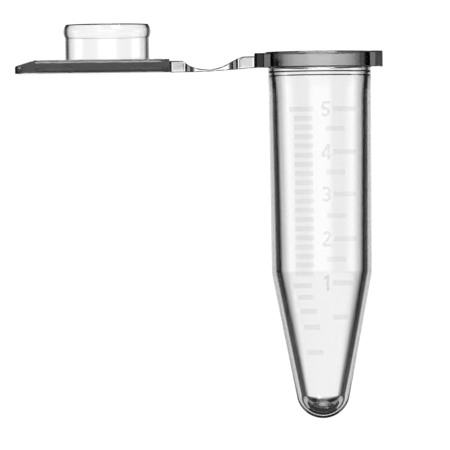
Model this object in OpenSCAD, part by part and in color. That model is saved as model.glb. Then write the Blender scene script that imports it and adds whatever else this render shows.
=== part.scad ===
// Snap-cap centrifuge tube of 5 ml, moulded in one piece of clear polypropylene:
// a conical tube, a lid with a hollow sealing plug, and the strap between them,
// whose thin web is the hinge. It is drawn as its functional zones, one module each.
// The origin is on the tube's axis at the underside of the rim flange, which rests
// on a rack. +Z is up, the lid lies open towards -X, and the scale faces -Y.
// All sizes are in millimetres.

/* [Rim] */
// Radius of the rim flange
rim_r = 9.1; // [8.9:0.1:9.5]
// Height of the rim flange
rim_h = 2.6; // [2.4:0.1:3]
// How far the thumb ledge stands out from the rim
ledge_reach = 1.2; // [0.8:0.1:1.6]
// Half the width of the thumb ledge
ledge_half = 4.6; // [3.5:0.1:5.5]
// How far the hinge lug stands out from the rim
lug_reach = 1.6; // [1.3:0.1:1.9]
// Height of the hinge lug, a little lower than the rim
lug_h = 2.4; // [2:0.1:2.4]

/* [Neck and barrel] */
// Outer radius of the neck collar, which fills a rack's hole
neck_r = 8.45; // [8.42:0.01:8.5]
// Height of the neck collar
neck_h = 2.1; // [1.5:0.1:2.5]
// Outer radius at the top of the barrel
barrel_top_r = 8.4; // [8.3:0.01:8.4]
// Outer radius at the bottom of the barrel
barrel_low_r = 8.24; // [8.18:0.01:8.28]
// Depth of the line where the barrel meets the cone
barrel_depth = 33.6; // [32:0.2:36]

/* [Cone and tip] */
// Outer radius at the top of the cone
cone_top_r = 8.17; // [8.1:0.01:8.18]
// Inner radius at the top of the cone
cone_bore_r = 6.45; // [6.35:0.01:6.5]
// Depth of the tube's lowest point
tip_depth = 57.5; // [56:0.5:60]
// Outer radius of the round tip
tip_r = 4.43; // [4.2:0.01:4.7]
// Thickness of the floor at the tip
floor_t = 1.6; // [1.5:0.05:1.8]
// Inner radius of the round tip
tip_bore_r = 2.85; // [2.6:0.05:3]

/* [Mouth and bore] */
// Radius of the mouth's wide upper seat
seat_r = 7.62; // [7.6:0.01:7.66]
// Radius of the mouth's middle step
step_r = 7.5; // [7.48:0.01:7.54]
// Radius of the step below it
land_r = 7.4; // [7.38:0.01:7.44]
// Radius of the sealing zone, in which the plug's bead rests
seal_r = 7.23; // [7.22:0.01:7.3]
// Radius at the top of the bore
bore_top_r = 7.1; // [7:0.01:7.15]
// Radius at the bottom of the bore
bore_low_r = 6.72; // [6.62:0.01:6.75]

/* [Scale] */
// Height that the scale's marks are raised by
mark_t = 0.12; // [0.08:0.01:0.2]
// Height of each bar along the tube
bar_h = 0.8; // [0.5:0.1:1]
// Height of the numerals
digit_h = 2.5; // [2:0.1:2.8]
// Width of the numerals' strokes
stroke_w = 0.4; // [0.3:0.01:0.45]

/* [Lid] */
// Distance from the tube's axis to the plug's axis with the lid open
lid_reach = 34.8; // [34.5:0.05:35.2]
// Half the width of the lid's plate
lid_half = 9.1; // [8.9:0.1:9.5]
// Height of the lid's outer face with the lid open
lid_base_z = -0.65; // [-0.8:0.05:-0.5]
// Height of the face that closes the rim, with the lid open
lid_face_z = 1.55; // [1.5:0.05:1.7]
// Height of the raised seat around the plug
seat_t = 0.4; // [0.3:0.05:0.5]
// How much the plate's sides lean in towards its outer face
plate_draft = 0.45; // [0.2:0.05:0.6]
// Reach of the lift tab from the plug's axis
tab_reach = 15; // [14:0.1:16]
// Where the lift tab's bevel starts, from the plug's axis
bevel_reach = 11.6; // [11:0.1:12]
// Height of the lift tab's front edge
tab_edge_h = 1.2; // [1:0.1:1.5]

/* [Plug] */
// Outer radius of the plug's skirt
skirt_r = 6.9; // [6.8:0.05:6.95]
// Thickness of the skirt's wall
skirt_t = 0.5; // [0.45:0.05:0.85]
// Height of the whole plug above the lid's face
plug_h = 5.9; // [5.5:0.05:5.95]
// Largest radius of the sealing bead
bead_r = 7.17; // [7.1:0.01:7.18]
// Height of the sealing bead
bead_h = 2.15; // [1.9:0.05:2.3]

/* [Strap] */
// Width of the strap
strap_w = 7; // [6:0.5:8]
// Width of the web at its narrowest place
web_w = 4.5; // [4:0.1:5]
// Thickness of the web at its thinnest place
web_t = 0.36; // [0.3:0.02:0.5]
// Radius of the hollow that thins the web
web_curve_r = 7; // [6.5:0.1:7.5]

/* [Hidden] */

round_fn = 128;
clear_tint = [0.88, 0.90, 0.91];
grey_tint = [0.66, 0.67, 0.68];
mark_tint = [0.80, 0.81, 0.82];

edge = 0.25;          // chamfer on the rim's edges
step_h = 0.15;        // height of each small step in the wall
shoulder_h = 0.35;    // height of the small outer shoulder where barrel and cone meet
blend_h = 0.5;        // how far the bore's step there runs up and down
web_slope = 0.38;     // slope of the web's sides where they widen towards the blocks
web_ease = [0.7, 0.74];  // where that widening starts and where it is straight
flare = 0.7;          // how much wider the strap's root is on each side
lug_corner = 0.3;     // corner of the lid's plate beside the strap
lip_h = 0.25;         // height of the plug's narrowing lip
root_h = 0.3;         // how far the neck's tapered root goes up into the flange
root_in = 0.5;        // how much that root tapers
slack = 1;            // how far a cutting shape runs past what it cuts

// The tube's outer cone touches the ball of the tip, and the inner cone the inner ball.
tip_z = -tip_depth;
ball_z = tip_z + tip_r;
cone_top_z = -barrel_depth - shoulder_h;
cone_lean = lean(cone_top_r, cone_top_z - ball_z, tip_r);
joint_z = ball_z - tip_r * sin(cone_lean);
bore_ball_z = tip_z + floor_t + tip_bore_r;
cone_bore_z = -barrel_depth - blend_h;
bore_lean = lean(cone_bore_r, cone_bore_z - bore_ball_z, tip_bore_r);

// Outlines as [radius, height], from the top down.
seat_z = -0.6;        // foot of the mouth's wide seat
step_z = -1.2;        // foot of the middle step
seal_z = -3.3;        // foot of the sealing zone
mouth_line = [
    [seat_r + edge, rim_h],
    [seat_r, rim_h - edge],
    [seat_r, seat_z],
    [step_r, seat_z - step_h],
    [step_r, step_z],
    [land_r, step_z - step_h],
    [land_r, -neck_h + step_h],
    [seal_r, -neck_h - step_h],
    [bore_top_r, seal_z],
    [bore_low_r, -barrel_depth + blend_h],
    [cone_bore_r, cone_bore_z]
];
bore_line = concat(
    mouth_line,
    arc_points(bore_ball_z, tip_bore_r, -bore_lean, -90, 10)
);
rim_line = [[rim_r - edge, rim_h], [rim_r, rim_h - edge], [rim_r, edge], [rim_r - edge, 0]];
root_line = [[neck_r - root_in, root_h], [neck_r, 0]];
tube_line = concat(
    [
        [neck_r, 0],
        [neck_r, -neck_h],
        [barrel_top_r, -neck_h - step_h],
        [barrel_low_r, -barrel_depth],
        [cone_top_r, cone_top_z]
    ],
    arc_points(ball_z, tip_r, -cone_lean, -90, 14)
);

// Places along the strap, from the tube outwards.
lug_x = -rim_r - lug_reach;
block_in_x = -13.4;
web_mid_x = -18.4;
block_out_x = -22;
lid_lug_x = -lid_reach + 10.25;
lid_lug_start_x = -lid_reach + 8.95;
web_top_z = -0.14;
web_run = (block_in_x - block_out_x) / 2;

// Slope of a line from a point at radius r and height h above a ball that touches the ball.
function lean(r, h, ball) = atan2(r, h) - asin(ball / norm([r, h]));

// Points on a ball's outline, by angle from the horizontal.
function arc_points(z, r, from, to, steps) =
    [for (i = [0:steps]) let (a = from + (to - from) * i / steps) [r * cos(a), z + r * sin(a)]];

// Radius of an outline at one height.
function radius_at(line, z) = lookup(z, [for (p = line) [p[1], p[0]]]);

// The part of an outline between two heights.
function between(line, top, low) = concat(
    [[radius_at(line, top), top]],
    [for (p = line) if (p[1] < top && p[1] > low) p],
    [[radius_at(line, low), low]]
);

function reversed(list) = [for (i = [len(list) - 1:-1:0]) list[i]];

// The same outline, moved outwards.
function outwards(line, t) = [for (p = line) [p[0] + t, p[1]]];

// A turned wall between an outer and an inner outline.
module turned_wall(outer, inner, top, low) {
    rotate_extrude($fn = round_fn)
        polygon(concat(between(outer, top, low), reversed(between(inner, top, low))));
}

// A slab with a side outline of [x, z] points, centred on Y.
module slab(points, width) {
    translate([0, width / 2, 0])
        rotate([90, 0, 0])
            linear_extrude(height = width)
                polygon(points);
}

// A flat shape drawn in X and Y, between two heights.
module plate(low, high) {
    translate([0, 0, low])
        linear_extrude(height = high - low)
            children();
}

// Marks drawn in X and Z, raised from the front of the tube.
module raised_marks() {
    intersection() {
        turned_wall(outwards(tube_line, mark_t), tube_line, -neck_h - step_h, joint_z);
        rotate([90, 0, 0])
            linear_extrude(height = rim_r)
                children();
    }
}

// One bar of the scale.
module bar(x, z, length) {
    translate([x, z - bar_h / 2])
        square([length, bar_h]);
}

// A straight stroke of a numeral, in numeral units of half the height.
module stroke(from, to) {
    run = to - from;
    translate(from)
        rotate(atan2(run[1], run[0]))
            translate([0, -stroke_w / 2])
                square([norm(run), stroke_w]);
}

// A round stroke of a numeral, anticlockwise from one angle to another.
module round_stroke(centre, r, from, to) {
    far = 2 * r;
    sector = [for (i = [0:6]) let (a = from + (to - from) * i / 6) far * [cos(a), sin(a)]];
    translate(centre)
        intersection() {
            difference() {
                circle(r + stroke_w / 2, $fn = 32);
                circle(r - stroke_w / 2, $fn = 32);
            }
            polygon(concat([[0, 0]], sector));
        }
}

module digit_1() {
    h = digit_h / 2;
    stroke([0.85, -h], [0.85, h]);
    stroke([0.3, h - 0.5], [0.9, h - 0.1]);
}

module digit_2() {
    h = digit_h / 2;
    r = h / 2;
    round_stroke([0.8, h - r], r - stroke_w / 2, -35, 170);
    stroke([0.15, -h + stroke_w / 2], [0.8 + 0.82 * (r - stroke_w / 2), h - 1.57 * r]);
    stroke([0.1, -h + stroke_w / 2], [1.55, -h + stroke_w / 2]);
}

module digit_3() {
    h = digit_h / 2;
    r = h / 2 + stroke_w / 4;
    round_stroke([0.75, h - r], r - stroke_w / 2, -90, 150);
    round_stroke([0.75, r - h], r - stroke_w / 2, -150, 90);
}

module digit_4() {
    h = digit_h / 2;
    stroke([1.2, -h], [1.2, h]);
    stroke([0.05, -h / 2], [1.6, -h / 2]);
    stroke([0.12, -h / 2], [1.15, h - 0.05]);
}

module digit_5() {
    h = digit_h / 2;
    r = h / 2 + 0.15;
    round_stroke([0.7, r - h], r - stroke_w / 2, -150, 130);
    stroke([0.3, h - stroke_w / 2], [1.5, h - stroke_w / 2]);
    stroke([0.4, h - stroke_w], [0.25, 0.05]);
}

// The flange fits round the neck's tapered root, so its flat underside is a bare ring.
module rim_flange() {
    mouth = between(mouth_line, rim_h, root_h);
    color(grey_tint)
        rotate_extrude($fn = round_fn)
            polygon(concat(rim_line, reversed(root_line), reversed(mouth)));
}

// A flat ledge opposite the hinge, under which a thumb lifts the lid.
module thumb_ledge() {
    tip_x = rim_r + ledge_reach;
    color(grey_tint)
        difference() {
            plate(0, rim_h)
                polygon([
                    [0, -ledge_half],
                    [tip_x - ledge_reach, -ledge_half],
                    [tip_x, -ledge_half + ledge_reach],
                    [tip_x, ledge_half - ledge_reach],
                    [tip_x - ledge_reach, ledge_half],
                    [0, ledge_half]
                ]);
            translate([0, 0, -slack])
                cylinder(r = rim_r, h = rim_h + 2 * slack, $fn = round_fn);
        }
}

// The wider root of the strap on the rim.
module rim_hinge_lug() {
    root_half = strap_w / 2 + flare;
    color(grey_tint)
        difference() {
            plate(0, lug_h)
                polygon([
                    [0, -root_half],
                    [lug_x + lug_reach, -root_half],
                    [lug_x, -strap_w / 2],
                    [lug_x, strap_w / 2],
                    [lug_x + lug_reach, root_half],
                    [0, root_half]
                ]);
            translate([0, 0, -slack])
                cylinder(r = rim_r, h = lug_h + 2 * slack, $fn = round_fn);
        }
}

module neck_collar() {
    color(clear_tint)
        turned_wall(concat(root_line, tube_line), mouth_line, root_h, -neck_h);
}

module barrel() {
    color(clear_tint)
        turned_wall(tube_line, bore_line, -neck_h, -barrel_depth);
}

module cone() {
    color(clear_tint)
        turned_wall(tube_line, bore_line, -barrel_depth, joint_z);
}

module round_tip() {
    outer = between(tube_line, joint_z, tip_z);
    inner = between(bore_line, joint_z, tip_z + floor_t);
    color(clear_tint)
        rotate_extrude($fn = round_fn)
            polygon(concat(outer, reversed(inner)));
}

// The left column: evenly spaced down the barrel, then wider apart down the cone.
module fine_scale_bars() {
    color(mark_tint)
        raised_marks() {
            bar(-5.15, -6.9, 3.9);
            for (i = [1:16]) bar(-4.35, -6.9 - 1.5 * i, 3);
            bar(-4.35, -32.3, 3);
            bar(-4.35, -33.8, 3);
            bar(-4.7, -35.7, 2.9);
            bar(-4, -37.6, 2.5);
            bar(-3.6, -39.9, 2.6);
            bar(-3.1, -42.5, 2.6);
            bar(-2.6, -46.6, 2.6);
        }
}

module half_millilitre_bars() {
    color(mark_tint)
        raised_marks() {
            for (i = [0:3]) bar(0.8, -10.1 - 7.1 * i, 3.1);
            bar(1.7, -40.9, 2.4);
        }
}

module millilitre_bars() {
    color(mark_tint)
        raised_marks() {
            for (z = [-6.9, -13.9, -20.8, -28.1]) bar(2, z, 3.7);
            bar(1.7, -35.3, 3.3);
        }
}

module scale_numerals() {
    color(mark_tint)
        raised_marks() {
            translate([0, -6.9]) digit_5();
            translate([0, -13.9]) digit_4();
            translate([0, -20.8]) digit_3();
            translate([0, -28.1]) digit_2();
            translate([0, -35.3]) digit_1();
        }
}

module strap_block_tube() {
    color(clear_tint)
        slab([
            [lug_x, 0],
            [lug_x, 1.9],
            [block_in_x + 0.8, 1.87],
            [block_in_x, 1.6],
            [block_in_x, -0.2]
        ], strap_w);
}

// Half the web's width between the blocks, where t is 0 in the middle and 1 at a block.
function web_half(t) = web_w / 2 + web_slope * web_run * (
    t < web_ease[0] ? 0
    : t < web_ease[1] ? (t - web_ease[0]) ^ 2 / (2 * (web_ease[1] - web_ease[0]))
    : t - (web_ease[0] + web_ease[1]) / 2
);

// The living hinge: a waisted web with a round hollow in its upper face.
module hinge_web() {
    mid = (block_in_x + block_out_x) / 2;
    side = [for (i = [-10:10]) [mid + web_run * i / 10, web_half(abs(i) / 10)]];
    swing = asin(4 / web_curve_r);
    back = asin(2.9 / web_curve_r);
    hollow = [
        for (i = [0:12])
            let (a = swing - (swing + back) * i / 12)
                [web_mid_x + web_curve_r * sin(a), web_top_z + web_curve_r * (1 - cos(a))]
    ];
    color(clear_tint)
        intersection() {
            slab(concat(
                [[block_in_x, -0.2], [block_in_x, 1.6]],
                hollow,
                [[block_out_x, 0.96], [block_out_x, -0.58], [web_mid_x, web_top_z - web_t]]
            ), strap_w + slack);
            plate(lid_base_z, rim_h)
                polygon(concat(side, [for (p = reversed(side)) [p[0], -p[1]]]));
        }
}

module strap_block_lid() {
    color(clear_tint)
        slab([
            [block_out_x, -0.58],
            [block_out_x, 0.96],
            [block_out_x - 0.4, 1.27],
            [lid_lug_x, 1.3],
            [lid_lug_x, -0.6]
        ], strap_w);
}

// The lid's plan: straight sides, with round corners of radius corner.
module lid_plan(from_x, to_x, half, corner) {
    translate([from_x + corner, -half + corner])
        offset(r = corner, $fn = 32)
            square([to_x - from_x - 2 * corner, 2 * (half - corner)]);
}

module lid_hinge_lug() {
    color(grey_tint)
        intersection() {
            plate(lid_base_z, lid_face_z)
                polygon([
                    [lid_lug_start_x, -lid_half + plate_draft],
                    [lid_lug_x - lug_corner, -lid_half + plate_draft],
                    [lid_lug_x, -lid_half + plate_draft + lug_corner],
                    [lid_lug_x, lid_half - plate_draft - lug_corner],
                    [lid_lug_x - lug_corner, lid_half - plate_draft],
                    [lid_lug_start_x, lid_half - plate_draft]
                ]);
        }
}

// The plate, whose long sides lean in towards its outer face.
module lid_plate() {
    top_z = lid_face_z - seat_t;
    low_half = lid_half - plate_draft;
    color(grey_tint)
        translate([-lid_reach - bevel_reach, 0, 0])
            rotate([90, 0, 90])
                linear_extrude(height = bevel_reach + lid_lug_start_x + lid_reach)
                    polygon([
                        [-low_half, lid_base_z],
                        [-lid_half, top_z],
                        [lid_half, top_z],
                        [low_half, lid_base_z]
                    ]);
}

// The raised seat, which closes on the rim.
module lid_seat() {
    side = lid_half - plate_draft - 0.15;
    color(clear_tint)
        plate(lid_face_z - seat_t, lid_face_z)
            lid_plan(-lid_reach - bevel_reach, lid_lug_start_x, side, 1);
}

module lift_tab() {
    end_x = -lid_reach - tab_reach;
    start_x = -lid_reach - bevel_reach;
    color(grey_tint)
        intersection() {
            slab([
                [end_x, lid_base_z],
                [start_x, lid_base_z],
                [start_x, lid_face_z],
                [end_x, lid_base_z + tab_edge_h]
            ], 2 * lid_half);
            plate(lid_base_z - slack, lid_face_z + slack)
                polygon(concat(
                    [[start_x, -lid_half + plate_draft / 3]],
                    [for (a = [-90:-15:-180]) [end_x + 2, -lid_half + 2.15] + 2 * [cos(a), sin(a)]],
                    [for (a = [180:-15:90]) [end_x + 2, lid_half - 2.15] + 2 * [cos(a), sin(a)]],
                    [[start_x, lid_half - plate_draft / 3]]
                ));
        }
}

module plug_skirt() {
    color(clear_tint)
        translate([-lid_reach, 0, lid_face_z])
            rotate_extrude($fn = round_fn)
                translate([skirt_r - skirt_t, 0])
                    square([skirt_t, plug_h - bead_h]);
}

// The sealing bead: the skirt's wall bulges out, then narrows to a lip.
module plug_bead() {
    low = plug_h - bead_h;
    bulge_h = bead_h - lip_h;
    inner_r = skirt_r - skirt_t;
    bulge = [
        for (i = [-6:6])
            let (u = i / 6)
                [(bead_r - skirt_r) * (1 - u * u), low + bulge_h * (1 + u) / 2]
    ];
    color(clear_tint)
        translate([-lid_reach, 0, lid_face_z])
            rotate_extrude($fn = round_fn)
                polygon(concat(
                    outwards(bulge, skirt_r),
                    [[skirt_r - lip_h / 2, plug_h], [inner_r + lip_h / 2, plug_h]],
                    outwards(reversed(bulge), inner_r)
                ));
}

rim_flange();
thumb_ledge();
rim_hinge_lug();
neck_collar();
barrel();
cone();
round_tip();
fine_scale_bars();
half_millilitre_bars();
millilitre_bars();
scale_numerals();
strap_block_tube();
hinge_web();
strap_block_lid();
lid_hinge_lug();
lid_plate();
lid_seat();
lift_tab();
plug_skirt();
plug_bead();
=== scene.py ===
"""Finished look of a snap-cap conical tube: a clear polypropylene moulding with its lid open.

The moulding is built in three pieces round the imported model: the tube with its rim, the lid
with its plug, and the strap between them, which bends at its thin web. The raised volume
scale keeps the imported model's own shapes and gets a frosted finish. Sizes are in millimetres
and are turned into metres where a mesh is made.
"""

import logging
import math
from collections.abc import Callable, Iterable
from dataclasses import dataclass, field
from enum import Enum, IntEnum

import bpy
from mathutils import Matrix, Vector


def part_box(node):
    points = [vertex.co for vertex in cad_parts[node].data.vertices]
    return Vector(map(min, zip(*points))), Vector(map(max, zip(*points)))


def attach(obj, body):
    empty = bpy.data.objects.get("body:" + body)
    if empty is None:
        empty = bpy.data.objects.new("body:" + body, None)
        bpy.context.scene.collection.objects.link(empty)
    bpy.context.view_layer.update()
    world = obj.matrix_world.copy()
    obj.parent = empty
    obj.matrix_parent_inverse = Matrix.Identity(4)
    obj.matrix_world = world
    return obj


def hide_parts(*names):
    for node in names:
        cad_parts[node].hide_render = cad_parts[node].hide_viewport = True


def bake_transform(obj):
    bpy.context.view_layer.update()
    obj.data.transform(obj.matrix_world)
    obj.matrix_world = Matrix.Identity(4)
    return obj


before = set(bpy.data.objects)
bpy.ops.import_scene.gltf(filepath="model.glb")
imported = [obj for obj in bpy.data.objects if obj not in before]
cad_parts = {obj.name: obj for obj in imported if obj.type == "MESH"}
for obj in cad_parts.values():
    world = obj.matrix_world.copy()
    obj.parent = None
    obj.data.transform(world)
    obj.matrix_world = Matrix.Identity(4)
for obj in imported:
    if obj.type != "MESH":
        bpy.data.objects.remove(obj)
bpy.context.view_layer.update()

LOG = logging.getLogger("tube")
MM = 0.001
FULL_TURN = 2 * math.pi
POLYPROPYLENE_IOR = 1.49
# Width of the camera's sensor, in millimetres.
SENSOR_W = 36.0
# How close counts as touching, in millimetres.
NEAR = 0.01
# The steepest normal that a side face still has.
UPRIGHT = 0.5
Point = tuple[float, float]
Triple = tuple[float, float, float]


class Body(str, Enum):
    """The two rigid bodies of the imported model."""

    TUBE = "tube"
    LID = "lid"


class Slot(str, Enum):
    """The record's material slot of the clear wall."""

    WALL = "clear_wall"


class TubeFace(IntEnum):
    """The tube's finishes, in slot order; all but the wall are painted shade."""

    WALL = 0
    RIM = 1
    SIDE = 2
    END = 3


class LidFace(IntEnum):
    """The lid's finishes, in slot order; the sides are painted shade."""

    WALL = 0
    SIDE = 1
    PLUG = 2


class StrapFace(IntEnum):
    """The strap's finishes, in slot order; the shoulders and the flared sides are painted shade."""

    WALL = 0
    BLOCK = 1
    SHOULDER = 2
    FLARE = 3


# ---------------------------------------------------------------- finishes


def grey(level: float) -> tuple[float, float, float, float]:
    """A neutral colour.

    Args:
        level: Its brightness, from 0 to 1.

    Returns:
        Red, green, blue and alpha.
    """
    return (level, level, level, 1.0)


def socket(group: bpy.types.NodeTree, name: str, kind: str, way: str, default: float | None = None) -> None:
    """Adds a named input or output to a node group.

    Args:
        group: The node group.
        name: The socket's name.
        kind: "NodeSocketFloat" or "NodeSocketVector".
        way: "INPUT" or "OUTPUT".
        default: The value of a plain number input.
    """
    made = group.interface.new_socket(name=name, in_out=way, socket_type=kind)
    if default is not None:
        made.default_value = default


def moulded_surface() -> bpy.types.NodeTree:
    """Builds the shared effect of a moulded plastic skin: haze, flow waves and fine grain.

    Returns:
        A node group that puts out a roughness and a height.
    """
    name = "moulded_surface"
    if name in bpy.data.node_groups:
        return bpy.data.node_groups[name]
    group = bpy.data.node_groups.new(name, "ShaderNodeTree")
    socket(group, "Vector", "NodeSocketVector", "INPUT")
    socket(group, "Roughness", "NodeSocketFloat", "INPUT", 0.05)
    socket(group, "Haze", "NodeSocketFloat", "INPUT", 0.03)
    socket(group, "Wave Scale", "NodeSocketFloat", "INPUT", 180.0)
    socket(group, "Grain Scale", "NodeSocketFloat", "INPUT", 2600.0)
    socket(group, "Grain", "NodeSocketFloat", "INPUT", 0.2)
    socket(group, "Roughness", "NodeSocketFloat", "OUTPUT")
    socket(group, "Height", "NodeSocketFloat", "OUTPUT")
    nodes, links = group.nodes, group.links
    entry = nodes.new("NodeGroupInput")
    leave = nodes.new("NodeGroupOutput")

    flow = nodes.new("ShaderNodeMapping")
    flow.inputs["Scale"].default_value = (1.0, 1.0, 0.25)
    wave = nodes.new("ShaderNodeTexNoise")
    wave.inputs["Detail"].default_value = 2.0
    grain = nodes.new("ShaderNodeTexNoise")
    grain.inputs["Detail"].default_value = 3.0
    links.new(entry.outputs["Vector"], flow.inputs["Vector"])
    links.new(flow.outputs["Vector"], wave.inputs["Vector"])
    links.new(entry.outputs["Wave Scale"], wave.inputs["Scale"])
    links.new(entry.outputs["Vector"], grain.inputs["Vector"])
    links.new(entry.outputs["Grain Scale"], grain.inputs["Scale"])

    spread = nodes.new("ShaderNodeMath")
    spread.operation = "MULTIPLY_ADD"
    links.new(wave.outputs["Fac"], spread.inputs[0])
    links.new(entry.outputs["Haze"], spread.inputs[1])
    links.new(entry.outputs["Roughness"], spread.inputs[2])
    links.new(spread.outputs["Value"], leave.inputs["Roughness"])

    height = nodes.new("ShaderNodeMath")
    height.operation = "MULTIPLY_ADD"
    links.new(grain.outputs["Fac"], height.inputs[0])
    links.new(entry.outputs["Grain"], height.inputs[1])
    links.new(wave.outputs["Fac"], height.inputs[2])
    links.new(height.outputs["Value"], leave.inputs["Height"])
    return group


def add_skin(material: bpy.types.Material, relief: float, settings: dict[str, float]) -> None:
    """Gives a material the moulded skin's roughness and relief.

    Args:
        material: The material, with its shader in place.
        relief: Depth of the relief, in metres.
        settings: Values for the shared effect's inputs, by name.
    """
    nodes, links = material.node_tree.nodes, material.node_tree.links
    shader = nodes["Principled BSDF"]
    place = nodes.new("ShaderNodeTexCoord")
    skin = nodes.new("ShaderNodeGroup")
    skin.node_tree = moulded_surface()
    for name, value in settings.items():
        skin.inputs[name].default_value = value
    bump = nodes.new("ShaderNodeBump")
    bump.inputs["Distance"].default_value = relief
    links.new(place.outputs["Object"], skin.inputs["Vector"])
    links.new(skin.outputs["Roughness"], shader.inputs["Roughness"])
    links.new(skin.outputs["Height"], bump.inputs["Height"])
    links.new(bump.outputs["Normal"], shader.inputs["Normal"])


@dataclass(frozen=True)
class Polypropylene:
    """Clear or satin polypropylene, seen through, with painted shade towards its grazing edges.

    Attributes:
        name: The material's name.
        tint: How much the surface lets through, from 0 to 1; the low values of the dark finishes are
            painted shade.
        roughness: Least roughness of the skin.
        haze: How much roughness the flow waves add.
        wave_scale: Waves in the wall, per metre.
        grain_scale: Grain of the skin, per metre.
        grain: Share of the grain in the relief.
        relief: Depth of the relief, in metres.
        painted_slant_shade: How much it lets through where it is seen at a slant: partly the longer path in
            the plastic, partly painted shade.
        slant: The facing values, from 0 to 1, between which the painted shade comes in.
    """

    name: str
    tint: float
    roughness: float
    haze: float
    painted_slant_shade: float = 0.56
    slant: tuple[float, float] = (0.4, 0.65)
    wave_scale: float = 180.0
    grain_scale: float = 2600.0
    grain: float = 0.1
    relief: float = 0.00001

    def build(self) -> bpy.types.Material:
        """Makes the material, with its skin from the shared effect.

        Returns:
            The material.
        """
        made = bpy.data.materials.new(self.name)
        made.use_nodes = True
        nodes, links = made.node_tree.nodes, made.node_tree.links
        shader = nodes["Principled BSDF"]
        # Painted shade: the colour darkens from the tint towards the slant value as the surface turns away
        # from view.
        facing = nodes.new("ShaderNodeLayerWeight")
        facing.inputs["Blend"].default_value = 0.5
        share = nodes.new("ShaderNodeMapRange")
        share.interpolation_type = "SMOOTHSTEP"
        share.inputs["From Min"].default_value = self.slant[0]
        share.inputs["From Max"].default_value = self.slant[1]
        colour = nodes.new("ShaderNodeMix")
        colour.data_type = "RGBA"
        colour.inputs["A"].default_value = grey(self.tint)
        colour.inputs["B"].default_value = grey(self.painted_slant_shade)
        links.new(facing.outputs["Facing"], share.inputs["Value"])
        links.new(share.outputs["Result"], colour.inputs["Factor"])
        links.new(colour.outputs["Result"], shader.inputs["Base Color"])
        shader.inputs["Transmission Weight"].default_value = 1.0
        shader.inputs["IOR"].default_value = POLYPROPYLENE_IOR
        settings = {
            "Roughness": self.roughness,
            "Haze": self.haze,
            "Wave Scale": self.wave_scale,
            "Grain Scale": self.grain_scale,
            "Grain": self.grain,
        }
        add_skin(made, self.relief, settings)
        return made


@dataclass(frozen=True)
class FrostedMark:
    """The raised scale's frosted skin, through which the wall behind still shows.

    Attributes:
        name: The material's name.
        tint: Colour of the frosting.
        cover: How much of the wall behind it hides.
        roughness: Least roughness.
        haze: How much roughness the flow waves add.
        grain_scale: Grain of the frosting, per metre.
        grain: Share of the grain in the relief.
        relief: Depth of the relief, in metres.
    """

    name: str = "frosted_mark"
    tint: Triple = (0.72, 0.73, 0.74)
    cover: float = 0.075
    roughness: float = 0.55
    haze: float = 0.2
    grain_scale: float = 5200.0
    grain: float = 1.0
    relief: float = 0.00002

    def build(self) -> bpy.types.Material:
        """Makes the material.

        Returns:
            The material.
        """
        made = bpy.data.materials.new(self.name)
        made.use_nodes = True
        shader = made.node_tree.nodes["Principled BSDF"]
        shader.inputs["Base Color"].default_value = (*self.tint, 1.0)
        shader.inputs["Alpha"].default_value = self.cover
        settings = {
            "Roughness": self.roughness,
            "Haze": self.haze,
            "Grain Scale": self.grain_scale,
            "Grain": self.grain,
        }
        add_skin(made, self.relief, settings)
        return made


def shaded(name: str, tint: float) -> bpy.types.Material:
    """Makes a finish of painted shade: a side kept dark from wherever it is seen.

    Args:
        name: The material's name.
        tint: How much the side lets through, from 0 to 1, which sets how dark the painted shade is.

    Returns:
        The material.
    """
    finish = Polypropylene(
        name, tint, roughness=0.06, haze=0.06, grain=0.5, painted_slant_shade=tint, slant=(0.02, 0.5)
    )
    return finish.build()


# ---------------------------------------------------------------- modelling by hand


def deselect_everything() -> None:
    """Leaves edit mode and deselects every object."""
    if bpy.context.object is not None and bpy.context.object.mode != "OBJECT":
        bpy.ops.object.mode_set(mode="OBJECT")
    bpy.ops.object.select_all(action="DESELECT")


def work_on(piece: bpy.types.Object) -> None:
    """Makes one piece the only selected and active one.

    Args:
        piece: The object to work on.
    """
    deselect_everything()
    piece.select_set(True)
    bpy.context.view_layer.objects.active = piece


def settle(piece: bpy.types.Object) -> None:
    """Puts a piece's place, turn and size into its mesh.

    Args:
        piece: The object.
    """
    work_on(piece)
    bpy.ops.object.transform_apply(location=True, rotation=True, scale=True)


def start_picking(piece: bpy.types.Object, kind: str) -> None:
    """Deselects the whole mesh of a piece and goes back to object mode.

    Args:
        piece: The object.
        kind: "VERT", "EDGE" or "FACE".
    """
    work_on(piece)
    bpy.ops.object.mode_set(mode="EDIT")
    bpy.ops.mesh.select_mode(type=kind)
    bpy.ops.mesh.select_all(action="DESELECT")
    bpy.ops.object.mode_set(mode="OBJECT")


def pick(piece: bpy.types.Object, kind: str, test: Callable[[Vector], bool]) -> None:
    """Selects vertices or faces by where their middle is, and goes to edit mode.

    Args:
        piece: The object.
        kind: "VERT" or "FACE".
        test: Says whether a middle point, in millimetres, is picked.
    """
    start_picking(piece, kind)
    if kind == "VERT":
        for vertex in piece.data.vertices:
            vertex.select = test(vertex.co / MM)
    else:
        for face in piece.data.polygons:
            face.select = test(face.center / MM)
    bpy.ops.object.mode_set(mode="EDIT")


def bevel_uprights(
    piece: bpy.types.Object, test: Callable[[Vector], bool], width: float, segments: int
) -> None:
    """Bevels a piece's upright edges, where a test picks them.

    Args:
        piece: The object.
        test: Says whether an edge with this end, in millimetres, is picked.
        width: The bevel's width, in millimetres.
        segments: Faces across it.
    """
    least_rise = 1.0
    start_picking(piece, "EDGE")
    mesh = piece.data
    for edge in mesh.edges:
        one, two = (mesh.vertices[i].co / MM for i in edge.vertices)
        edge.select = abs(one.z - two.z) > least_rise and test(one)
    bpy.ops.object.mode_set(mode="EDIT")
    bpy.ops.mesh.bevel(offset=width * MM, segments=segments, affect="EDGES")
    bpy.ops.object.mode_set(mode="OBJECT")


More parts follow.
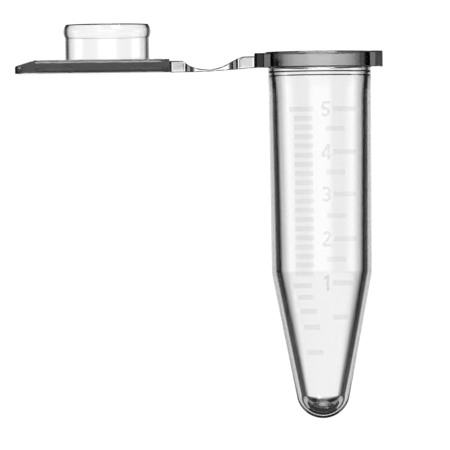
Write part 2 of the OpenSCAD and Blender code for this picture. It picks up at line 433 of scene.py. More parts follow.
def add_modifier(piece: bpy.types.Object, kind: str, **settings: object) -> None:
    """Adds a modifier and applies it.

    Args:
        piece: The object.
        kind: The modifier's type.
        settings: The modifier's settings.
    """
    work_on(piece)
    made = piece.modifiers.new(kind.lower(), kind)
    for name, value in settings.items():
        setattr(made, name, value)
    bpy.ops.object.modifier_apply(modifier=made.name)


def soften(piece: bpy.types.Object, width: float, segments: int, degrees: float = 30.0) -> None:
    """Rounds off a piece's sharp edges.

    Args:
        piece: The object.
        width: Width of the rounding, in millimetres.
        segments: Faces across it.
        degrees: The least angle of an edge that is rounded.
    """
    add_modifier(
        piece, "BEVEL", width=width * MM, segments=segments, limit_method="ANGLE",
        angle_limit=math.radians(degrees),
    )


def close_up(piece: bpy.types.Object, merge: float = 0.0005) -> None:
    """Merges doubled vertices and points every face outwards.

    Args:
        piece: The object.
        merge: The distance within which vertices are one, in millimetres.
    """
    work_on(piece)
    bpy.ops.object.mode_set(mode="EDIT")
    bpy.ops.mesh.select_all(action="SELECT")
    bpy.ops.mesh.remove_doubles(threshold=merge * MM)
    bpy.ops.mesh.normals_make_consistent(inside=False)
    bpy.ops.object.mode_set(mode="OBJECT")


def drawn_line(name: str, points: list[Vector]) -> bpy.types.Object:
    """Draws a line of edges through points, and stays in edit mode with all of it selected.

    Args:
        name: The piece's name.
        points: The points, in metres.

    Returns:
        The piece, which is a line so far.
    """
    deselect_everything()
    bpy.ops.mesh.primitive_plane_add(size=MM, location=points[0])
    piece = bpy.context.object
    piece.name = name
    settle(piece)
    bpy.ops.object.mode_set(mode="EDIT")
    bpy.ops.mesh.select_mode(type="VERT")
    bpy.ops.mesh.select_all(action="SELECT")
    bpy.ops.mesh.merge(type="CENTER")
    for here, there in zip(points, points[1:]):
        bpy.ops.mesh.extrude_vertices_move(TRANSFORM_OT_translate={"value": there - here})
    bpy.ops.mesh.select_all(action="SELECT")
    return piece


def turned(name: str, outline: Iterable[Point], axis_x: float, steps: int) -> bpy.types.Object:
    """Turns an outline round an upright axis, as on a lathe.

    Args:
        name: The piece's name.
        outline: Points of radius and height, in millimetres, closed or ending on the axis.
        axis_x: Where the axis stands along X, in millimetres.
        steps: Faces round a full turn.

    Returns:
        The closed piece.
    """
    points = [Vector((axis_x + radius, 0.0, height)) * MM for radius, height in outline]
    piece = drawn_line(name, points)
    bpy.ops.mesh.spin(steps=steps, angle=FULL_TURN, center=(axis_x * MM, 0, 0), axis=(0, 0, 1))
    close_up(piece)
    return piece


def slab(name: str, outline: list[Vector], depth: Triple) -> bpy.types.Object:
    """Extrudes a flat closed outline.

    Args:
        name: The piece's name.
        outline: The outline's corners, in millimetres.
        depth: How far and which way it is extruded, in millimetres.

    Returns:
        The closed piece.
    """
    points = [corner * MM for corner in outline]
    piece = drawn_line(name, points)
    bpy.ops.mesh.edge_face_add()
    bpy.ops.mesh.extrude_region_move(TRANSFORM_OT_translate={"value": Vector(depth) * MM})
    bpy.ops.object.mode_set(mode="OBJECT")
    close_up(piece)
    return piece


def block(name: str, low: Triple, high: Triple) -> bpy.types.Object:
    """Adds a box between two corners.

    Args:
        name: The piece's name.
        low: Lowest corner, in millimetres.
        high: Highest corner, in millimetres.

    Returns:
        The box, at the origin with its place in its mesh.
    """
    one, two = Vector(low) * MM, Vector(high) * MM
    deselect_everything()
    bpy.ops.mesh.primitive_cube_add(size=1.0, location=(one + two) / 2, scale=two - one)
    piece = bpy.context.object
    piece.name = name
    settle(piece)
    return piece


def cut_at(piece: bpy.types.Object, where: Triple, normal: Triple) -> None:
    """Cuts a loop of edges where a plane crosses a piece.

    Args:
        piece: The object.
        where: A point of the plane, in millimetres.
        normal: The plane's normal.
    """
    work_on(piece)
    bpy.ops.object.mode_set(mode="EDIT")
    bpy.ops.mesh.select_all(action="SELECT")
    bpy.ops.mesh.bisect(plane_co=Vector(where) * MM, plane_no=normal)
    bpy.ops.object.mode_set(mode="OBJECT")


def join_solid(piece: bpy.types.Object, other: bpy.types.Object) -> None:
    """Unites another solid with a piece, and deletes the other.

    Args:
        piece: The solid that stays.
        other: The solid that becomes part of it.
    """
    add_modifier(piece, "BOOLEAN", operation="UNION", solver="EXACT", object=other)
    bpy.data.objects.remove(other, do_unlink=True)
    close_up(piece, merge=0.001)


def smooth(piece: bpy.types.Object, degrees: float = 20.0) -> None:
    """Shades a piece smooth, apart from its sharp edges.

    Args:
        piece: The object.
        degrees: The least angle of a sharp edge.
    """
    work_on(piece)
    bpy.ops.object.shade_smooth_by_angle(angle=math.radians(degrees), keep_sharp_edges=True)
    add_modifier(piece, "WEIGHTED_NORMAL", mode="FACE_AREA", weight=100, keep_sharp=True)


def dress(piece: bpy.types.Object, *finishes: bpy.types.Material) -> None:
    """Gives a piece its materials.

    Args:
        piece: The object.
        finishes: The materials, in slot order.
    """
    piece.data.materials.clear()
    for finish in finishes:
        piece.data.materials.append(finish)


def arc(centre: Point, radius: float, start: float, end: float, steps: int) -> list[Point]:
    """Points on an arc of an outline.

    Args:
        centre: The arc's centre.
        radius: Its radius.
        start: First angle from the horizontal, in degrees.
        end: Last angle.
        steps: How many stretches it has.

    Returns:
        The points, both ends included.
    """
    angles = [math.radians(start + (end - start) * i / steps) for i in range(steps + 1)]
    return [(centre[0] + radius * math.cos(a), centre[1] + radius * math.sin(a)) for a in angles]


def report(piece: bpy.types.Object) -> None:
    """Logs a finished piece's name and size.

    Args:
        piece: The object.
    """
    size = piece.dimensions / MM
    LOG.info("%s: %d faces, %.1f x %.1f x %.1f mm", piece.name, len(piece.data.polygons), *size)


# ---------------------------------------------------------------- the tube


@dataclass
class TubeShell:
    """The tube from its rim to its tip, with the thumb ledge and the strap's root.

    Attributes:
        wall: The finish of the thin wall.
        edge: The finish of the thick rim, greyed and darkened where its faces slant, as painted shade.
        side: The painted shade on the sides of ledge and lug where they meet the rim.
        end: The deeper painted shade on the ends of the ledge and of the strap's lug.
        blend_h: Height over which the barrel runs into the neck.
        bore_blend_h: Half the height over which the bore runs from barrel to cone.
        mouth: Radius and height of each step of the mouth, down to the bore.
        beside_share: Share of the rim's radius beyond which its sides count as ledge or lug, which take
            painted shade.
    """

    wall: bpy.types.Material
    edge: bpy.types.Material
    side: bpy.types.Material
    end: bpy.types.Material
    rim_r: float = field(init=False)
    rim_h: float = field(init=False)
    cone_top: float = field(init=False)
    tip: float = field(init=False)
    neck_r: float = 8.45
    neck_h: float = 2.1
    barrel_top_r: float = 8.41
    barrel_low_r: float = 8.22
    cone_r: float = 8.17
    tip_r: float = 4.42
    floor_t: float = 1.45
    bore_tip_r: float = 2.98
    bore_low_r: float = 6.72
    cone_bore_r: float = 6.58
    shoulder_h: float = 0.35
    blend_h: float = 0.5
    bore_blend_h: float = 0.3
    chamfer: float = 0.25
    low_chamfer: float = 0.12
    mouth: tuple[Point, ...] = (
        (7.62, -0.6), (7.5, -0.75), (7.5, -1.2), (7.4, -1.4), (7.14, -4.6),
    )
    ledge_reach: float = 1.2
    ledge_half: float = 4.6
    lug_reach: float = 1.6
    lug_h: float = 2.4
    lug_half: float = 3.5
    lug_root_half: float = 4.2
    overlap: float = 0.3
    lug_overlap: float = 1.0
    rounding: float = 0.06
    ledge_rounding: float = 0.12
    lug_rounding: float = 0.1
    beside_share: float = 0.75
    tip_steps: int = 30
    bore_tip_steps: int = 26
    steps: int = 144

    def __post_init__(self) -> None:
        """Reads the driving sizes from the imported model."""
        self.rim_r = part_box("rim_flange")[1].x / MM
        self.rim_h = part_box("rim_flange")[1].z / MM
        self.cone_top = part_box("cone")[1].z / MM
        self.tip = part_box("round_tip")[0].z / MM

    @staticmethod
    def lean(radius: float, drop: float, ball_r: float) -> float:
        """Slope, in degrees, of a cone's side that runs down to touch a ball.

        Args:
            radius: Radius at the cone's top.
            drop: Height of the cone's top above the ball's centre.
            ball_r: Radius of the ball.

        Returns:
            The angle between the cone's side and the axis.
        """
        return math.degrees(math.atan2(radius, drop) - math.asin(ball_r / math.hypot(radius, drop)))

    def outline(self) -> list[Point]:
        """The wall's outline from the tip, up the outside, over the rim and down the bore.

        Returns:
            Points of radius and height in millimetres, both ends on the axis.
        """
        ball_z = self.tip + self.tip_r
        bore_z = self.tip + self.floor_t + self.bore_tip_r
        cone_z = self.cone_top - self.shoulder_h
        outer_lean = self.lean(self.cone_r, cone_z - ball_z, self.tip_r)
        inner_top = self.cone_top - self.bore_blend_h
        inner_lean = self.lean(self.cone_bore_r, inner_top - bore_z, self.bore_tip_r)
        c = self.chamfer
        outside = [(0.0, self.tip)]
        outside += arc((0, ball_z), self.tip_r, -90, -outer_lean, self.tip_steps)[1:]
        outside += [
            (self.cone_r, cone_z),
            (self.barrel_low_r, self.cone_top),
            (self.barrel_top_r, -self.neck_h - self.blend_h),
            (self.neck_r, -self.neck_h),
            (self.neck_r, 0.0),
            (self.rim_r - self.low_chamfer, 0.0),
            (self.rim_r, self.low_chamfer),
            (self.rim_r, self.rim_h - c),
            (self.rim_r - c, self.rim_h),
        ]
        seat_r = self.mouth[0][0]
        inside = [(seat_r + c, self.rim_h), (seat_r, self.rim_h - c), *self.mouth]
        inside += [(self.bore_low_r, self.cone_top + self.bore_blend_h), (self.cone_bore_r, inner_top)]
        inside += arc((0, bore_z), self.bore_tip_r, -inner_lean, -90, self.bore_tip_steps)[:-1]
        inside.append((0.0, self.tip + self.floor_t))
        return outside + inside

    def ledge(self) -> bpy.types.Object:
        """The flat thumb ledge opposite the hinge, its two outer corners cut off.

        Returns:
            A solid that reaches into the rim.
        """
        root = self.neck_r - self.overlap
        tip = self.rim_r + self.ledge_reach
        piece = block("ledge", (root, -self.ledge_half, 0), (tip, self.ledge_half, self.rim_h))
        bevel_uprights(piece, lambda p: p.x > tip - NEAR, self.ledge_reach, segments=1)
        soften(piece, self.ledge_rounding, segments=2)
        return piece

    def lug(self) -> bpy.types.Object:
        """The strap's root on the rim, wider where it leaves the rim.

        Returns:
            A solid that reaches into the rim.
        """
        end = -self.rim_r - self.lug_reach
        root = -self.neck_r + self.lug_overlap
        piece = block("lug", (end, -self.lug_half, 0), (root, self.lug_half, self.lug_h))
        cut_at(piece, (-self.rim_r, 0, 0), (1, 0, 0))
        pick(piece, "VERT", lambda p: p.x > -self.rim_r - NEAR)
        grow = self.lug_root_half / self.lug_half
        bpy.ops.transform.resize(value=(1, grow, 1), center_override=(-self.rim_r * MM, 0, 0))
        bpy.ops.object.mode_set(mode="OBJECT")
        soften(piece, self.lug_rounding, segments=2)
        return piece

    def build(self) -> bpy.types.Object:
        """Makes the tube, dresses it and hangs it on its body.

        Returns:
            The finished piece.
        """
        piece = turned("tube_shell", self.outline(), 0.0, self.steps)
        soften(piece, self.rounding, segments=2)
        join_solid(piece, self.ledge())
        join_solid(piece, self.lug())
        smooth(piece)
        dress(piece, self.wall, self.edge, self.side, self.end)
        # Painted shade: upright faces of the rim, and the sides and ends of ledge and lug, take the dark
        # finishes.
        close_by, sideways = 0.1, 0.9
        for face in piece.data.polygons:
            middle = face.center / MM
            from_axis = math.hypot(middle.x, middle.y)
            upright = abs(face.normal.z) < UPRIGHT and middle.z > 0
            beside = abs(face.normal.y) > sideways and abs(middle.x) > self.beside_share * self.rim_r
            if upright and abs(middle.x) > self.rim_r + close_by:
                face.material_index = TubeFace.END
            elif upright and beside:
                face.material_index = TubeFace.SIDE
            elif upright and from_axis > self.rim_r - close_by:
                face.material_index = TubeFace.RIM
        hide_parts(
            "rim_flange", "thumb_ledge", "rim_hinge_lug", "neck_collar", "barrel", "cone", "round_tip"
        )
        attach(piece, Body.TUBE.value)
        report(piece)
        return piece


# ---------------------------------------------------------------- the lid


@dataclass
class LidShell:
    """The lid's plate with its seat, lift tab and strap root, and the hollow plug.

    Attributes:
        wall: The finish of the plate's faces.
        edge: The painted shade on the plate's sides.
        thin: The finish of the plug, with painted shade at its grazing edges.
        draft: How far the plate's sides lean in, from top to bottom.
        inner_share: How much of the bead's bulge the plug's bore follows.
        sink: How far the plug's foot reaches into the plate.
    """

    wall: bpy.types.Material
    edge: bpy.types.Material
    thin: bpy.types.Material
    axis_x: float = field(init=False)
    base_z: float = field(init=False)
    seat_z: float = field(init=False)
    face_z: float = field(init=False)
    tab_end: float = field(init=False)
    tab_start: float = field(init=False)
    lug_start: float = field(init=False)
    lug_end: float = field(init=False)
    plug_top: float = field(init=False)
    half: float = 9.1
    draft: float = 0.45
    seat_inset: float = 0.4
    tab_edge_h: float = 1.2
    tab_corner: float = 2.0
    lug_corner: float = 0.3
    skirt_r: float = 6.9
    skirt_t: float = 0.32
    bead_r: float = 7.17
    bead_h: float = 2.15
    lip_h: float = 0.25
    inner_share: float = 0.85
    sink: float = 0.2
    bulge_half_steps: int = 6
    edge_cut: float = 0.13
    plug_rounding: float = 0.06
    steps: int = 128

    def __post_init__(self) -> None:
        """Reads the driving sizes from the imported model."""
        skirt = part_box("plug_skirt")
        self.axis_x = (skirt[0].x + skirt[1].x) / 2 / MM
        self.base_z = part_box("lid_plate")[0].z / MM
        self.seat_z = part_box("lid_plate")[1].z / MM
        self.face_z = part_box("lid_seat")[1].z / MM
        self.tab_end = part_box("lift_tab")[0].x / MM
        self.tab_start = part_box("lift_tab")[1].x / MM
        self.lug_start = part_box("lid_hinge_lug")[0].x / MM
        self.lug_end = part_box("lid_hinge_lug")[1].x / MM
        self.plug_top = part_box("plug_bead")[1].z / MM

    def plug_outline(self) -> list[Point]:
        """The plug wall's outline: the skirt, and the bead that bulges at its middle.

        Returns:
            A closed outline that starts inside the plate.
        """
        foot = self.face_z - self.sink
        low = self.plug_top - self.bead_h
        top = self.plug_top - self.lip_h
        outer, inner = self.skirt_r, self.skirt_r - self.skirt_t
        bulge = []
        half_steps = self.bulge_half_steps
        for i in range(-half_steps, half_steps + 1):
            u = i / half_steps
            swell = (self.bead_r - self.skirt_r) * (1 - u * u)
            bulge.append((swell, low + (top - low) * (1 + u) / 2))
        return [
            (inner, foot),
            (outer, foot),
            *[(outer + swell, z) for swell, z in bulge],
            (outer - self.lip_h / 2, self.plug_top),
            (inner + self.lip_h / 2, self.plug_top),
            *[(inner + swell * self.inner_share, z) for swell, z in reversed(bulge)],
            (inner, foot),
        ]

    def plate(self) -> bpy.types.Object:
        """The plate: its seat and lug raised, its tab sloped, its sides leaning in.

        Returns:
            A closed solid.
        """
        low = (self.tab_end, -self.half, self.base_z)
        piece = block("lid_shell", low, (self.lug_end, self.half, self.seat_z))
        bevel_uprights(piece, lambda p: p.x < self.tab_end + NEAR, self.tab_corner, segments=6)
        bevel_uprights(piece, lambda p: p.x > self.lug_end - NEAR, self.lug_corner, segments=3)
        cut_at(piece, (self.tab_start, 0, 0), (1, 0, 0))
        cut_at(piece, (self.lug_start, 0, 0), (1, 0, 0))
        seat_half = self.half - self.seat_inset
        cut_at(piece, (0, seat_half, 0), (0, 1, 0))
        cut_at(piece, (0, -seat_half, 0), (0, 1, 0))
        lean = 1 - self.draft / self.half
        pick(piece, "VERT", lambda p: p.z < self.base_z + NEAR)
        bpy.ops.transform.resize(value=(1, lean, 1), center_override=(0, 0, self.base_z * MM))
        bpy.ops.object.mode_set(mode="OBJECT")
        rise = (self.face_z - self.seat_z) * MM
        pick(
            piece,
            "FACE",
            lambda p: p.z > self.seat_z - NEAR
            and (abs(p.y) < seat_half or not self.tab_start < p.x < self.lug_start),
        )
        bpy.ops.mesh.extrude_region_move(TRANSFORM_OT_translate={"value": (0, 0, rise)})
        bpy.ops.object.mode_set(mode="OBJECT")
        run = self.tab_start - self.tab_end
        drop = self.face_z - (self.base_z + self.tab_edge_h)
        just_above = self.face_z + 0.002
        bpy.ops.object.mode_set(mode="EDIT")
        bpy.ops.mesh.select_all(action="SELECT")
        bpy.ops.mesh.bisect(
            plane_co=(self.tab_start * MM, 0, just_above * MM),
            plane_no=Vector((-drop, 0, run)).normalized(),
            use_fill=True,
            clear_outer=True,
        )
        bpy.ops.object.mode_set(mode="OBJECT")
        return piece

    def build(self) -> bpy.types.Object:
        """Makes the lid, dresses it and hangs it on its body.

        Returns:
            The finished piece.
        """
        piece = self.plate()
        close_up(piece)
        soften(piece, self.edge_cut, segments=1, degrees=40.0)
        plug = turned("plug", self.plug_outline(), self.axis_x, self.steps)
        soften(plug, self.plug_rounding, segments=2)
        join_solid(piece, plug)
        smooth(piece)
        dress(piece, self.wall, self.edge, self.thin)
        # Painted shade: the plate's sides, off the seat, take the dark side finish.
        for face in piece.data.polygons:
            at, normal = face.center / MM, face.normal
            beside_seat = self.tab_start < at.x < self.lug_start and at.z > self.seat_z - NEAR
            if at.z > self.face_z + NEAR:
                face.material_index = LidFace.PLUG
            elif abs(normal.z) < UPRIGHT and not beside_seat:
                face.material_index = LidFace.SIDE
        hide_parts("lid_plate", "lid_seat", "lid_hinge_lug", "lift_tab", "plug_skirt", "plug_bead")
        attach(piece, Body.LID.value)
        report(piece)
        return piece


# ---------------------------------------------------------------- the strap


@dataclass
class Strap:
    """The strap between rim and lid: two stiff blocks and the thin web that bends.

    Attributes:
        wall: The finish of the web.
        block: The finish of the blocks' sides.
        shoulder_shade: The painted shade on the small shoulders at the blocks' ends.
        flare_shade: The painted shade on the web's slanting sides.
        flare_from: Where the web starts to widen, from 0 at its middle to 1 at a block.
        flare_to: Where it widens at its full slope.
        tube_brow: How far in the tube's block starts to slope down, and its height there.
        tube_face: Lowest and highest point of that block where the web leaves it.
        lid_brow: How far out the lid's block starts to slope down, and its height there.
        lid_face: Lowest and highest point of that block where the web leaves it.
        web_thicker: Two places beside the web's middle, and how its underside differs there.
        border: Width of the clear border round a block's textured side.
    """

    wall: bpy.types.Material
    block: bpy.types.Material
    shoulder_shade: bpy.types.Material
    flare_shade: bpy.types.Material
    rim_end: float = field(init=False)
    block_in: float = field(init=False)
    block_out: float = field(init=False)
    lid_end: float = field(init=False)
    half: float = 3.5
    foot: float = 0.35
    shoulder_run: float = 0.3
    waist: float = 2.25
    flare_slope: float = 0.38
    flare_from: float = 0.7
    flare_to: float = 0.74
    web_x: float = -18.4
    web_top: float = -0.14
    web_t: float = 0.36
    hollow_r: float = 7.0
    hollow_front: float = 4.0
    hollow_back: float = 2.9
    hollow_steps: int = 14
    flare_steps: int = 16
    tube_top: float = 1.9
    tube_brow: Point = (0.8, 1.87)
    tube_face: Point = (-0.2, 1.6)
    lid_top: float = 1.3
    lid_brow: Point = (-0.4, 1.27)
    lid_face: Point = (-0.58, 0.96)
    lid_foot: float = -0.6
    web_thicker: tuple[Point, Point] = ((-1.6, -0.04), (2.5, 0.15))
    edge: float = 0.12
    border: float = 0.18

    def __post_init__(self) -> None:
        """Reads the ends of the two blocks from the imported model."""
        self.rim_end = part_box("strap_block_tube")[1].x / MM
        self.block_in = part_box("strap_block_tube")[0].x / MM
        self.block_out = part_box("strap_block_lid")[1].x / MM
        self.lid_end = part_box("strap_block_lid")[0].x / MM

    def outline(self) -> list[Point]:
        """The strap's side outline, from the rim's lug over the top and back underneath.

        Returns:
            A closed outline of X and Z in millimetres.
        """
        first = 90 - math.degrees(math.asin(self.hollow_front / self.hollow_r))
        last = 90 + math.degrees(math.asin(self.hollow_back / self.hollow_r))
        centre = (self.web_x, self.web_top + self.hollow_r)
        under = self.web_top - self.web_t
        outwards, inwards = self.web_thicker
        return [
            (self.rim_end, self.tube_top),
            (self.block_in + self.tube_brow[0], self.tube_brow[1]),
            (self.block_in, self.tube_face[1]),
            *arc(centre, self.hollow_r, -first, -last, self.hollow_steps),
            (self.block_out, self.lid_face[1]),
            (self.block_out + self.lid_brow[0], self.lid_brow[1]),
            (self.lid_end, self.lid_top),
            (self.lid_end, self.lid_foot),
            (self.block_out, self.lid_face[0]),
            (self.web_x + outwards[0], under + outwards[1]),
            (self.web_x, under),
            (self.web_x + inwards[0], under + inwards[1]),
            (self.block_in, self.tube_face[0]),
            (self.rim_end, 0.0),
        ]

    def web_half(self, t: float, run: float) -> float:
        """Half the web's width.

        Args:
            t: Place along the web, 0 at its middle and 1 at a block.
            run: Half the web's length, in millimetres.

        Returns:
            The half width in millimetres.
        """
        if t < self.flare_from:
            return self.waist
        if t < self.flare_to:
            eased = (t - self.flare_from) ** 2 / (2 * (self.flare_to - self.flare_from))
        else:
            eased = t - (self.flare_from + self.flare_to) / 2
        return self.waist + self.flare_slope * run * eased

    def plan(self) -> list[Point]:
        """The strap's outline from above: blocks of full width, the web waisted between them.

        Returns:
            A closed outline of X and Y in millimetres.
        """
        middle = (self.block_in + self.block_out) / 2
        run = (self.block_in - self.block_out) / 2
        side = [(self.rim_end, self.half), (self.block_in, self.half)]
        for i in range(2 * self.flare_steps + 1):
            t = 1 - i / self.flare_steps
            side.append((middle + (run - self.shoulder_run) * t, self.web_half(abs(t), run)))
        foot_x = self.lid_end + self.shoulder_run
        side += [(self.block_out, self.half), (foot_x, self.half), (self.lid_end, self.half + self.foot)]
        return side + [(x, -y) for x, y in reversed(side)]

    def mark_faces(self, piece: bpy.types.Object) -> None:
        """Gives each upright side its finish: painted shade on the shoulders and the web's slanting sides,
        texture on the blocks.

        Args:
            piece: The strap, already dressed.
        """
        web_out, web_in = self.block_out + self.shoulder_run, self.block_in - self.shoulder_run
        foot_x = self.lid_end + self.shoulder_run
        slanting = 0.3
        for face in piece.data.polygons:
            at, upright = face.center.x / MM, abs(face.normal.z) < slanting
            shoulder_shade = web_in < at < self.block_in or self.block_out < at < web_out or at < foot_x
            if upright and shoulder_shade:
                face.material_index = StrapFace.SHOULDER
            elif upright and not self.block_out < at < self.block_in:
                face.material_index = StrapFace.BLOCK
            elif upright and abs(face.normal.x) > slanting:
                face.material_index = StrapFace.FLARE

    def frame_patches(self, piece: bpy.types.Object) -> None:
        """Leaves a clear border round the textured patch on each side of the blocks.

        Args:
            piece: The strap, already dressed.
        """
        square_on = 0.99
        start_picking(piece, "FACE")
        for face in piece.data.polygons:
            face.select = face.material_index == StrapFace.BLOCK and abs(face.normal.y) > square_on
        bpy.ops.object.mode_set(mode="EDIT")
        bpy.ops.mesh.inset(thickness=self.border * MM, depth=0)
        bpy.ops.object.mode_set(mode="OBJECT")
        for face in piece.data.polygons:
            if face.material_index == StrapFace.BLOCK and not face.select:
                face.material_index = StrapFace.WALL

    def build(self) -> bpy.types.Object:
        """Makes the strap where its side outline and its plan meet.

        Returns:
            The finished piece.
        """
        past_side, below, height = self.half + 1, -2, 6
        outline = [Vector((x, -past_side, z)) for x, z in self.outline()]
        piece = slab("strap", outline, (0, 2 * past_side, 0))
        width = slab("strap_plan", [Vector((x, y, below)) for x, y in self.plan()], (0, 0, height))
        add_modifier(piece, "BOOLEAN", operation="INTERSECT", solver="EXACT", object=width)
        bpy.data.objects.remove(width, do_unlink=True)
        close_up(piece, merge=0.001)
        soften(piece, self.edge, segments=2, degrees=50.0)
        smooth(piece)
        dress(piece, self.wall, self.block, self.shoulder_shade, self.flare_shade)
        self.mark_faces(piece)
        self.frame_patches(piece)
        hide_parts("strap_block_tube", "hinge_web", "strap_block_lid")
        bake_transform(piece)
        report(piece)
        return piece


# ---------------------------------------------------------------- the studio


@dataclass
class Studio:
    """A bright field behind a clear object: pale floor, soft light and a long lens.

    Attributes:
        distance: How far the camera stands from the tube's axis, in metres.
        field_w: Width of the field of view at the axis, in millimetres.
        centre_x: Where the camera stands along X, in millimetres.
        centre_z: Height of the camera, in millimetres.
        roll: How far the camera is rolled, in degrees.
        floor_z: Height of the floor, in metres.
        floor_r: Radius of the floor, in metres.
        floor_y: Where the floor's middle is along Y, in metres.
        shadow_card_r: Radius of the dark card, which lies under the tube as a painted shadow, in metres.
        shadow_card_tail: How far the card is drawn out behind the tube, in metres.
        shadow_card_tail_share: Share of the card's radius beyond which it is drawn out.
        bright: Strength of the world's bright fields.
        dark: Strength of the world between them.
        front_sector: Half angle of the bright fields before and behind, in degrees.
        front_soft: Softness of their edges, in degrees.
        side_sector: Half angle of the bright fields at the sides, in degrees.
        side_soft: Softness of their edges, in degrees.
        ceiling: Angle above and below level where the bright fields end, in degrees.
        ceiling_soft: Softness of that edge, in degrees.
        aim: The point that the lights shine at, in metres.
        vertices: Corners round the floor and the card.
    """

    distance: float = 1.3
    field_w: float = 73.8
    centre_x: float = -15.8
    centre_z: float = -25.65
    roll: float = 0.65
    floor_z: float = -0.25
    floor_r: float = 1.0
    floor_y: float = -0.28
    shadow_card_r: float = 0.35
    shadow_card_tail: float = 0.38
    bright: float = 1.06
    dark: float = 0.02
    front_sector: float = 26.0
    front_soft: float = 8.0
    side_sector: float = 16.0
    side_soft: float = 5.0
    ceiling: float = 7.0
    ceiling_soft: float = 2.0
    shadow_card_tail_share: float = 0.9
    aim: Triple = (-0.02, 0.0, -0.03)
    vertices: int = 96

    def world(self) -> None:
        """A soft white field at each quarter of the horizon, with near black between and above."""
        world = bpy.data.worlds.new("studio")
        bpy.context.scene.world = world
        world.use_nodes = True
        nodes, links = world.node_tree.nodes, world.node_tree.links
        back = nodes["Background"]
        place = nodes.new("ShaderNodeTexCoord")
        split = nodes.new("ShaderNodeSeparateXYZ")
        links.new(place.outputs["Generated"], split.inputs[0])

        def math_node(kind: str, *values: bpy.types.NodeSocket | float) -> bpy.types.NodeSocket:
            """Adds a math node on sockets or numbers, and returns its output."""
            made = nodes.new("ShaderNodeMath")
            made.operation = kind
            for entry, value in zip(made.inputs, values):
                if isinstance(value, float):
                    entry.default_value = value
                else:
                    links.new(value, entry)
            return made.outputs[0]

        def fall(value: bpy.types.NodeSocket, start: float, end: float) -> bpy.types.NodeSocket:
            """Runs smoothly from 0 at start to 1 at end."""
            made = nodes.new("ShaderNodeMapRange")
            made.interpolation_type = "SMOOTHSTEP"
            made.inputs["From Min"].default_value = start
            made.inputs["From Max"].default_value = end
            links.new(value, made.inputs["Value"])
            return made.outputs["Result"]

        east = math_node("ABSOLUTE", split.outputs["X"])
        north = math_node("ABSOLUTE", split.outputs["Y"])
        height = math_node("ABSOLUTE", split.outputs["Z"])

        def beam(
            aside: bpy.types.NodeSocket, along: bpy.types.NodeSocket, half: float, soft: float
        ) -> bpy.types.NodeSocket:
            """A pair of opposite bright fields, bright within a half angle of their axis."""
            away = math_node("ARCTAN2", aside, along)
            return fall(away, math.radians(half + soft), math.radians(half - soft))

        across = math_node(
            "ADD",
            beam(east, north, self.front_sector, self.front_soft),
            beam(north, east, self.side_sector, self.side_soft),
        )
        low = math.sin(math.radians(self.ceiling - self.ceiling_soft))
        high = math.sin(math.radians(self.ceiling + self.ceiling_soft))
        upright = fall(height, high, low)
        mask = math_node("MULTIPLY", across, upright)
        level = math_node("MULTIPLY_ADD", mask, self.bright - self.dark, self.dark)
        links.new(level, back.inputs["Strength"])
        back.inputs["Color"].default_value = grey(1.0)

    def disc(self, name: str, radius: float, place: Triple, level: float) -> bpy.types.Object:
        """Adds a flat matt disc.

        Args:
            name: The disc's name.
            radius: Its radius, in metres.
            place: Its middle, in metres.
            level: Its brightness, from 0 to 1.

        Returns:
            The disc.
        """
        deselect_everything()
        bpy.ops.mesh.primitive_circle_add(
            vertices=self.vertices, radius=radius, fill_type="NGON", location=place
        )
        made = bpy.context.object
        made.name = name
        finish = bpy.data.materials.new(f"matt_{name}")
        finish.use_nodes = True
        shader = finish.node_tree.nodes["Principled BSDF"]
        shader.inputs["Base Color"].default_value = grey(level)
        shader.inputs["Roughness"].default_value = 0.9
        shader.inputs["Specular IOR Level"].default_value = 0.0
        made.data.materials.append(finish)
        return made

    def floor(self) -> None:
        """A round pale floor."""
        self.disc("floor", self.floor_r, (0, self.floor_y, self.floor_z), level=0.86)

    def shadow_card(self) -> None:
        """A dark card on the floor: under the tube it is a painted shadow, and the clear walls show it as
        their dark lines.

        It lies under the tube and is drawn out behind it.
        """
        shadow_card = self.disc("shadow_card", self.shadow_card_r, (0, 0, self.floor_z + MM), level=0.05)
        pick(shadow_card, "VERT", lambda p: p.y * MM > self.shadow_card_tail_share * self.shadow_card_r)
        bpy.ops.transform.translate(value=(0, self.shadow_card_tail, 0))
        bpy.ops.object.mode_set(mode="OBJECT")

    def lights(self) -> None:
        """One soft light overhead and a weaker one in front."""
        for name, place, size, power in (
            ("overhead", (-0.02, -0.05, 0.9), 0.7, 9.0),
            ("front", (0.5, -1.0, 0.7), 0.5, 5.0),
        ):
            deselect_everything()
            bpy.ops.object.light_add(type="AREA", location=place)
            light = bpy.context.object
            light.name = name
            light.data.shape = "DISK"
            light.data.size = size
            light.data.energy = power
            way = Vector(self.aim) - Vector(place)
            light.rotation_euler = way.to_track_quat("-Z", "Y").to_euler()

    def camera(self) -> None:
        """A long lens, level with the middle of the tube and lid and rolled a little."""
        lens_data = bpy.data.cameras.new("camera")
        camera = bpy.data.objects.new("camera", lens_data)
        bpy.context.scene.collection.objects.link(camera)
        bpy.context.scene.camera = camera
        lens_data.sensor_width = SENSOR_W
        lens_data.lens = SENSOR_W * self.distance / (self.field_w * MM)
        lens_data.clip_start, lens_data.clip_end = 0.05, 10.0
        camera.location = (self.centre_x * MM, -self.distance, self.centre_z * MM)
        camera.rotation_euler = (math.pi / 2, math.radians(self.roll), 0)

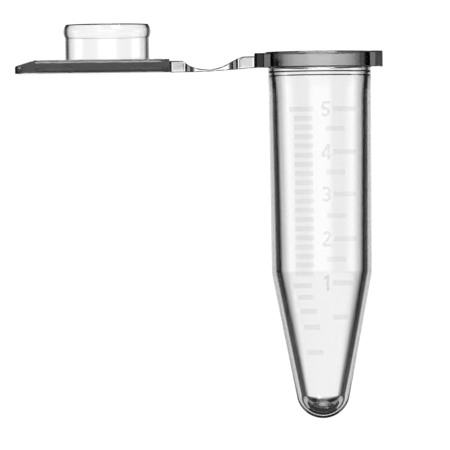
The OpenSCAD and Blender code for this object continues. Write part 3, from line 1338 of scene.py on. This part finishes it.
    def build(self) -> None:
        """Sets the stage, the light and the camera."""
        bpy.context.scene.view_settings.view_transform = "Standard"
        self.world()
        self.floor()
        self.shadow_card()
        self.lights()
        self.camera()


def dress_scale(bar: bpy.types.Material, numeral: bpy.types.Material) -> None:
    """Gives the raised bars and numerals their frosted skin.

    Args:
        bar: The bars' finish.
        numeral: The numerals' finish.
    """
    for name in ("fine_scale_bars", "half_millilitre_bars", "millilitre_bars"):
        dress(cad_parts[name], bar)
        report(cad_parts[name])
    dress(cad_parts["scale_numerals"], numeral)
    report(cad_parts["scale_numerals"])


def main() -> None:
    """Builds the studio and every piece, in order."""
    logging.basicConfig(level=logging.INFO, format="%(message)s")
    Studio().build()
    # These finishes darken towards their grazing edges: partly the longer path in the plastic, partly
    # painted shade.
    wall = Polypropylene(
        "clear_polypropylene", 0.955, roughness=0.015, haze=0.03, painted_slant_shade=0.48, slant=(0.32, 0.56)
    ).build()
    thin = Polypropylene(
        "thin_polypropylene", 0.985, roughness=0.015, haze=0.03, painted_slant_shade=0.03, slant=(0.55, 0.8)
    ).build()
    # Painted shade: the rim lets through only half, and almost nothing where its faces slant.
    rim = Polypropylene(
        "satin_rim_painted_shade", 0.5, roughness=0.06, haze=0.06, grain=0.5,
        painted_slant_shade=0.03, slant=(0.03, 0.29),
    ).build()
    textured = Polypropylene(
        "textured_polypropylene", 0.78, roughness=0.25, haze=0.1, grain=1.0,
        grain_scale=9000.0, slant=(0.1, 0.5),
    ).build()
    # Painted shade: dark finishes for the sides of the rim's ledge and lug, the lid's sides and the strap's
    # shoulders and flares.
    side = shaded("shaded_side", 0.06)
    deep_shade = shaded("deep_painted_shade", 0.016)
    flare_shade = shaded("flared_painted_shade", 0.12)
    TubeShell(wall, rim, side=flare_shade, end=deep_shade).build()
    LidShell(wall, side, thin).build()
    Strap(wall, textured, shoulder_shade=side, flare_shade=flare_shade).build()
    dress_scale(FrostedMark().build(), FrostedMark("frosted_numeral", cover=0.12).build())


if __name__ == "__main__":
    main()
